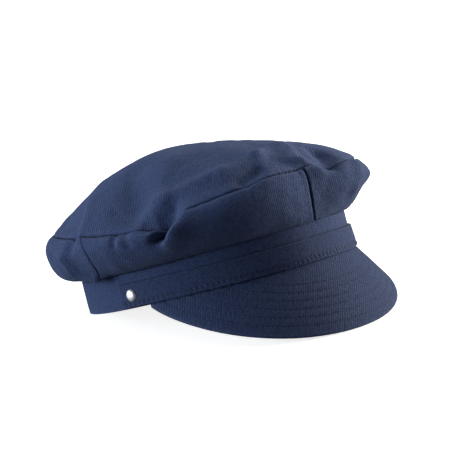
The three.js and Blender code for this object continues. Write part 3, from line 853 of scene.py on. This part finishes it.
def peak_stitches():
    share = root_shares(SEARCH["columns"])[:, None]
    along = np.linspace(0, 1, SEARCH["places"])[None]
    distance = distance_to_edge(peak_surface(share, along, 0.0))
    parts = []
    for row in PEAK_ROWS:
        kept = distance[:, 0] > row + 0.6
        shares = share[kept, 0]
        places = np.array([np.interp(row, column[::-1], along[0, ::-1]) for column in distance[kept]])
        path = peak_surface(shares, places, 0.22)
        out = peak_surface(shares, places, -1.0) - peak_surface(shares, places, 0.0)
        middles, ahead, where = resample(path, STITCH["pitch"] * FINER["pitch"])
        position = np.linspace(0, 1, len(path))
        facing = np.stack([np.interp(where, position, out[:, axis]) for axis in range(3)], -1)
        parts.append((middles, ahead, unit(facing)))
    return [np.concatenate([part[k] for part in parts]) for k in range(3)]


peak_threads = peak_stitches()
peak_stitch_piece = thread_mesh(
    "peak_stitches", *peak_threads, STITCH["length"] * FINER["length"], STITCH["radius"] * FINER["radius"]
)
print("peak stitches", len(peak_threads[0]))

# %% [markdown]
# The rivets are spun metal, so each is a profile turned about the rivet's own axis: a low domed cap with a
# rolled rim, a shank through strap and band, and a flat washer inside.

# %% Rivets
RIVET_ROUND = 40
RIVET_FACE = strap_stand(RIVET["up"])


def rivet_profile():
    """Pairs of radius and height over the strap's face, from the washer's middle to the top of the dome."""
    foot = -(RIVET_FACE + BAND["wall"] + 2 * GAP) + GAP
    bottom = foot - RIVET["washer_wall"]
    washer, shank, edge = RIVET["washer_radius"], RIVET["shank_radius"], RIVET["cap_radius"]
    inside = [(0, bottom), (washer - 0.25, bottom), (washer, foot - 0.3), (washer - 0.2, foot)]
    inside += [(shank + 0.1, foot), (shank, foot + 0.2), (shank, 0.0)]
    rim = [(edge - 0.45, -0.05), (edge - 0.12, 0.02), (edge, 0.2), (edge - 0.06, 0.42), (edge - 0.3, 0.6)]
    start, top = 0.62, RIVET["cap_height"] + GAP
    turns = np.linspace(0.12, 1, 10) * math.pi / 2
    dome = [((edge - 0.42) * math.cos(turn), start + (top - start) * math.sin(turn)) for turn in turns[:-1]]
    return inside + rim + dome + [(0, top)]


def rivet_piece(name, hand):
    angle = hand * RIVET["angle"]
    axis = outward(np.array(angle))
    upright = np.array([0, 0, 1.0])
    middle = around(angle, RIVET_FACE, RIVET["up"])
    profile = rivet_profile()
    turns = (np.arange(RIVET_ROUND) * FULL_TURN / RIVET_ROUND)[:, None]
    spokes = np.cross(upright, axis) * np.cos(turns) + upright * np.sin(turns)
    rings = [middle + axis * height + radius * spokes for radius, height in profile[1:-1]]
    ends = [middle + axis * profile[0][1]], [middle + axis * profile[-1][1]]
    points = np.concatenate([ends[0], *rings, ends[1]])
    index = 1 + np.arange(len(rings) * RIVET_ROUND).reshape(len(rings), RIVET_ROUND)
    following = np.roll(index, -1, axis=1)
    faces = quads(index[:-1], following[:-1], following[1:], index[1:])
    faces += [[0, following[0, i], index[0, i]] for i in range(RIVET_ROUND)]
    faces += [[len(points) - 1, index[-1, i], following[-1, i]] for i in range(RIVET_ROUND)]
    return make_object(name + "_metal", points, faces, points - middle, np.zeros(len(points)), crisp=45)


rivets = {name: rivet_piece(name, hand) for name, hand in (("rivet_right", 1), ("rivet_left", -1))}

# %% [markdown]
# Every cloth piece uses the same weave, so the weave is a shader node group. A twill is made of slanting
# ribs: the flat cloth's coordinate is turned by the slant, a sine across it makes the ribs, and a quicker
# wave along them breaks each rib into yarns. The group gives a height for the bump and a shade for the
# colour. It reads the stored flat coordinate in millimetres, so the ribs keep their size on every piece.

# %% Node helpers
def new_group(name, inputs, outputs):
    """inputs gives each input's usual value, or None for a vector. Every output is a number."""
    group = bpy.data.node_groups.new(name, "ShaderNodeTree")
    for label, value in inputs.items():
        kind = "NodeSocketVector" if value is None else "NodeSocketFloat"
        socket = group.interface.new_socket(label, in_out="INPUT", socket_type=kind)
        if value is not None:
            socket.default_value = value
    for label in outputs:
        group.interface.new_socket(label, in_out="OUTPUT", socket_type="NodeSocketFloat")
    return group, group.nodes.new("NodeGroupInput").outputs, group.nodes.new("NodeGroupOutput").inputs


class Wires:
    """Short ways to add nodes to one tree and join them. Each gives the new node's output or outputs."""

    def __init__(self, tree):
        self.tree = tree

    def put(self, socket, value):
        if isinstance(value, bpy.types.NodeSocket):
            self.tree.links.new(value, socket)
        else:
            socket.default_value = value

    def fill(self, inputs, values):
        for label, value in values.items():
            self.put(inputs[label], value)

    def math(self, operation, *values):
        node = self.tree.nodes.new("ShaderNodeMath")
        node.operation = operation
        for socket, value in zip(node.inputs, values):
            self.put(socket, value)
        return node.outputs[0]

    def times(self, first, second):
        return self.math("MULTIPLY", first, second)

    def plus(self, first, second):
        return self.math("ADD", first, second)

    def noise(self, vector, scale, detail=2.0, roughness=0.5):
        node = self.tree.nodes.new("ShaderNodeTexNoise")
        values = {"Vector": vector, "Scale": scale, "Detail": detail, "Roughness": roughness}
        self.fill(node.inputs, values)
        return node.outputs["Fac"]

    def mix_color(self, factor, first, second):
        node = self.tree.nodes.new("ShaderNodeMix")
        node.data_type = "RGBA"
        for socket, value in zip((node.inputs[0], node.inputs[6], node.inputs[7]), (factor, first, second)):
            self.put(socket, value)
        return node.outputs[2]

    def spread(self, value, low, high):
        node = self.tree.nodes.new("ShaderNodeMapRange")
        for socket, given in zip(node.inputs[:5], (value, 0.0, 1.0, low, high)):
            self.put(socket, given)
        return node.outputs[0]

    def stored(self, name, output):
        """What is kept with the points of the mesh under a name."""
        node = self.tree.nodes.new("ShaderNodeAttribute")
        node.attribute_name = name
        return node.outputs[output]

    def group(self, tree, values):
        node = self.tree.nodes.new("ShaderNodeGroup")
        node.node_tree = tree
        self.fill(node.inputs, values)
        return node.outputs

    def bump(self, height, distance):
        node = self.tree.nodes.new("ShaderNodeBump")
        self.fill(node.inputs, {"Height": height, "Distance": distance})
        return node.outputs[0]


def new_material(name):
    material = bpy.data.materials.new(name)
    material.use_nodes = True
    return material, Wires(material.node_tree), material.node_tree.nodes["Principled BSDF"].inputs


print("node helpers ready")

# %% Twill weave group
def twill_group():
    inputs = {"Cloth": None, "Rib pitch": 1.5, "Slant": 0.9, "Wander": 0.35}
    group, given, made = new_group("twill weave", inputs, ["Height", "Shade"])
    wires = Wires(group)
    cloth = given["Cloth"]
    turned = group.nodes.new("ShaderNodeVectorRotate")
    turned.rotation_type = "Z_AXIS"
    wires.fill(turned.inputs, {"Vector": cloth, "Angle": given["Slant"]})
    apart = group.nodes.new("ShaderNodeSeparateXYZ")
    wires.put(apart.inputs[0], turned.outputs[0])
    drift = wires.spread(wires.noise(cloth, 0.09), -1.0, 1.0)
    across = wires.plus(apart.outputs["Y"], wires.times(drift, given["Wander"]))
    turns = wires.math("DIVIDE", wires.times(across, FULL_TURN), given["Rib pitch"])
    uneven = wires.spread(wires.noise(cloth, 0.35, 3.0, 0.6), -0.2, 1.5)
    rib = wires.times(wires.spread(wires.math("SINE", turns), 0.5, 1.0), uneven)
    yarn_turns = wires.plus(wires.times(apart.outputs["X"], 5.2), turns)
    yarn = wires.spread(wires.math("SINE", yarn_turns), 0.5, 1.0)
    fibre = wires.noise(cloth, 2.6, 3.0, 0.6)
    height = wires.plus(wires.times(rib, 0.45), wires.times(yarn, 0.16))
    height = wires.plus(height, wires.times(fibre, 0.4))
    shade = wires.plus(wires.times(rib, 0.5), wires.noise(cloth, 1.0, 3.0, 0.75))
    wires.fill(made, {"Height": height, "Shade": wires.spread(shade, -1.2, 1.6)})
    return group


TWILL = twill_group()
print("group", TWILL.name, "with", len(TWILL.nodes), "nodes")

# %% [markdown]
# Worn navy cotton fades in soft patches and goes pale where it is rubbed: along folded edges, seam ridges
# and the crests of folds. A second group gives both as values, and the material decides how strong they
# are.

# %% Fade and wear group
def wear_group():
    inputs = {"Cloth": None, "Rub": 0.0, "Patch size": 40.0}
    group, given, made = new_group("fade and wear", inputs, ["Fade", "Wear"])
    wires = Wires(group)
    cloth = given["Cloth"]
    scale = wires.math("DIVIDE", 1.0, given["Patch size"])
    broad = wires.noise(cloth, scale, 3.0, 0.55)
    small = wires.noise(cloth, wires.times(scale, 6.0), 3.0, 0.6)
    fade = wires.plus(wires.times(broad, 0.65), wires.times(small, 0.35))
    broken = wires.spread(wires.noise(cloth, 0.55, 4.0, 0.7), -0.25, 1.35)
    wear = wires.math("MAXIMUM", wires.times(given["Rub"], broken), 0.0)
    wires.fill(made, {"Fade": fade, "Wear": wear})
    return group


WEAR = wear_group()
print("group", WEAR.name, "with", len(WEAR.nodes), "nodes")

# %% [markdown]
# A cloth material joins the two groups. Its colour runs from deep navy between the ribs to a lighter one on
# them, and fading and wear lighten it. Where the mark is below 0, in the grooves of seams and stitch rows
# and beside the strap, shade is painted in as a near-black navy. A bump raises the ribs, and the sheen is
# that of loose cotton fibres.

# %% Cloth materials
# painted shade: the near-black navy that grooves and the strip beside the strap are darkened towards
PAINTED_SHADE_NAVY = (0.004, 0.006, 0.014, 1)
NAVY_DEEP = (0.005, 0.010, 0.036, 1)
NAVY_LIGHT = (0.036, 0.058, 0.146, 1)
NAVY_PALE = (0.075, 0.105, 0.220, 1)
RIB = {"pitch": 1.6, "bump": 0.0013}


def cloth_material(name, slant, light_share=1.0):
    material, wires, shader = new_material(name)
    light = (*(value * light_share for value in NAVY_LIGHT[:3]), 1)
    where, wear_and_shade = wires.stored("cloth", "Vector"), wires.stored("wear_and_shade", "Fac")
    weave = wires.group(TWILL, {"Cloth": where, "Slant": slant, "Rib pitch": RIB["pitch"]})
    wear = wires.group(WEAR, {"Cloth": where, "Rub": wear_and_shade})
    colour = wires.mix_color(weave["Shade"], NAVY_DEEP, light)
    colour = wires.mix_color(wires.spread(wear["Fade"], -0.12, 0.4), colour, light)
    colour = wires.mix_color(wires.times(wear["Wear"], 0.45), colour, NAVY_PALE)
    # painted shade, where the mark is below 0
    painted_shade = wires.math("MAXIMUM", wires.times(wear_and_shade, -1.0), 0.0)
    wires.fill(shader, {
        "Base Color": wires.mix_color(wires.times(painted_shade, 0.85), colour, PAINTED_SHADE_NAVY),
        "Roughness": wires.spread(weave["Shade"], 0.95, 0.8),
        "Normal": wires.bump(weave["Height"], RIB["bump"]),
        "Specular IOR Level": 0.12,
        "Sheen Weight": 0.2,
        "Sheen Roughness": 0.45,
        "Sheen Tint": (0.55, 0.65, 1.0, 1.0),
    })
    return material


crown_twill = cloth_material("crown twill", slant=1.05)
band_twill = cloth_material("band twill", slant=-0.75)
strap_twill = cloth_material("strap twill", slant=-0.75, light_share=0.82)
peak_twill = cloth_material("peak twill", slant=0.95, light_share=0.8)
print("cloth materials", crown_twill.name, band_twill.name, strap_twill.name, peak_twill.name)

# %% [markdown]
# Sewing thread is a little shinier and lighter than the cloth, with a fine twist.

# %% Thread material
THREAD_DARK = (0.012, 0.020, 0.060, 1)
THREAD_LIGHT = (0.070, 0.105, 0.24, 1)
navy_thread, wires, shader = new_material("navy thread")
twist = wires.noise(wires.stored("cloth", "Vector"), 4.0, 2.0)
wires.fill(shader, {
    "Base Color": wires.mix_color(twist, THREAD_DARK, THREAD_LIGHT),
    "Roughness": wires.spread(twist, 0.5, 0.8),
    "Normal": wires.bump(twist, 0.0001),
    "Specular IOR Level": 0.25,
})
print("thread material", navy_thread.name)

# %% [markdown]
# The rivets are satin nickel, with fine scratches and a few dull patches from handling.

# %% Rivet material
NICKEL_DULL = (0.60, 0.58, 0.60, 1)
NICKEL_LIGHT = (0.76, 0.74, 0.77, 1)
satin_nickel, wires, shader = new_material("satin nickel")
where = wires.stored("cloth", "Vector")
dull = wires.noise(where, 0.6, 4.0, 0.6)
scratch = wires.noise(where, 9.0, 2.0, 0.7)
wires.fill(shader, {
    "Base Color": wires.mix_color(dull, NICKEL_DULL, NICKEL_LIGHT),
    "Roughness": wires.spread(wires.times(dull, scratch), 0.45, 0.75),
    "Normal": wires.bump(scratch, 0.00003),
    "Metallic": 1.0,
})
print("metal", satin_nickel.name)

# %% [markdown]
# Now every piece gets its material and rides on the one body, and the CAD node it stands for is hidden.

# %% Dress the frame
DRESSED = [(piece, crown_twill, "crown_twill", name) for name, piece in quarter_pieces.items()]
DRESSED += [
    (crown_top, crown_twill, "crown_twill", "crown_top"),
    (headband, band_twill, "band_twill", "headband"),
    (strap, strap_twill, "band_twill", "strap"),
    (peak, peak_twill, "peak_twill", "peak"),
    (strap_stitches, navy_thread, "band_twill", None),
    (peak_stitch_piece, navy_thread, "peak_twill", None),
]
DRESSED += [(piece, satin_nickel, "rivet_metal", name) for name, piece in rivets.items()]
for piece, material, slot, node in DRESSED:
    piece.data.materials.append(material)
    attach(piece, "root")
    if node:
        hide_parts(node)
print("dressed", len(DRESSED), "pieces")

# %% [markdown]
# The studio is a pale floor under a near-white surround, with large soft lamps. The photo's light comes
# from above, from the back left and from the right, and the faces towards the camera are the darkest. The
# floor shows white to the camera but sends less light back up.

# %% Floor
bpy.ops.mesh.primitive_plane_add(size=12, location=(0, 0, 0))
floor = bpy.context.object
floor.name = "floor"
FLOOR_LIT = (0.22, 0.22, 0.22, 1)
FLOOR_SEEN = (0.93, 0.93, 0.93, 1)
floor_paint, wires, shader = new_material("pale floor")
seen = wires.tree.nodes.new("ShaderNodeLightPath").outputs["Is Camera Ray"]
wires.fill(shader, {
    "Base Color": wires.mix_color(seen, FLOOR_LIT, FLOOR_SEEN),
    "Roughness": 0.9,
    "Emission Color": (1, 1, 1, 1),
    "Emission Strength": wires.times(seen, 0.78),
})
floor.data.materials.append(floor_paint)
print("floor", tuple(floor.dimensions))

# %% Surround
world = bpy.data.worlds.new("surround")
bpy.context.scene.world = world
world.use_nodes = True
wires = Wires(world.node_tree)
seen = wires.tree.nodes.new("ShaderNodeLightPath").outputs["Is Camera Ray"]
sky = wires.tree.nodes["Background"].inputs
wires.fill(sky, {"Color": (1.0, 1.0, 1.0, 1), "Strength": wires.spread(seen, 0.095, 1.0)})
bpy.context.scene.view_settings.view_transform = "Standard"
print("view transform", bpy.context.scene.view_settings.view_transform)

# %% Lamps
# name, place in metres, size, watts, colour
LAMPS = [
    ("peak side lamp", (1.1, -0.57, 0.22), 0.7, 38, (1.0, 0.96, 0.88)),
    ("back side lamp", (-0.70, 1.02, 0.35), 0.7, 6, (0.84, 0.94, 1.0)),
    ("near side lamp", (-1.3, 0.6, 0.2), 0.7, 19, (0.86, 0.94, 1.0)),
]
SUN = {"turn": (-0.25, -0.2, 0.0), "strength": 1.15, "angle": 0.9}
for name, place, size, watts, colour in LAMPS:
    lamp_data = bpy.data.lights.new(name, "AREA")
    lamp_data.size = size
    lamp_data.energy = watts
    lamp_data.color = colour
    lamp = bpy.data.objects.new(name, lamp_data)
    bpy.context.collection.objects.link(lamp)
    lamp.location = place
    lamp.rotation_mode = "QUATERNION"
    lamp.rotation_quaternion = (Vector((0, 0, 0.05)) - Vector(place)).to_track_quat("-Z", "Y")
sun_data = bpy.data.lights.new("overhead", "SUN")
sun_data.energy, sun_data.angle = SUN["strength"], SUN["angle"]
sun = bpy.data.objects.new("overhead", sun_data)
bpy.context.collection.objects.link(sun)
sun.rotation_euler = SUN["turn"]
print("lamps", [lamp[0] for lamp in LAMPS], "and an overhead light")

# %% [markdown]
# Last, the scene is brought up to date.

# %% Finish
bpy.context.view_layer.update()
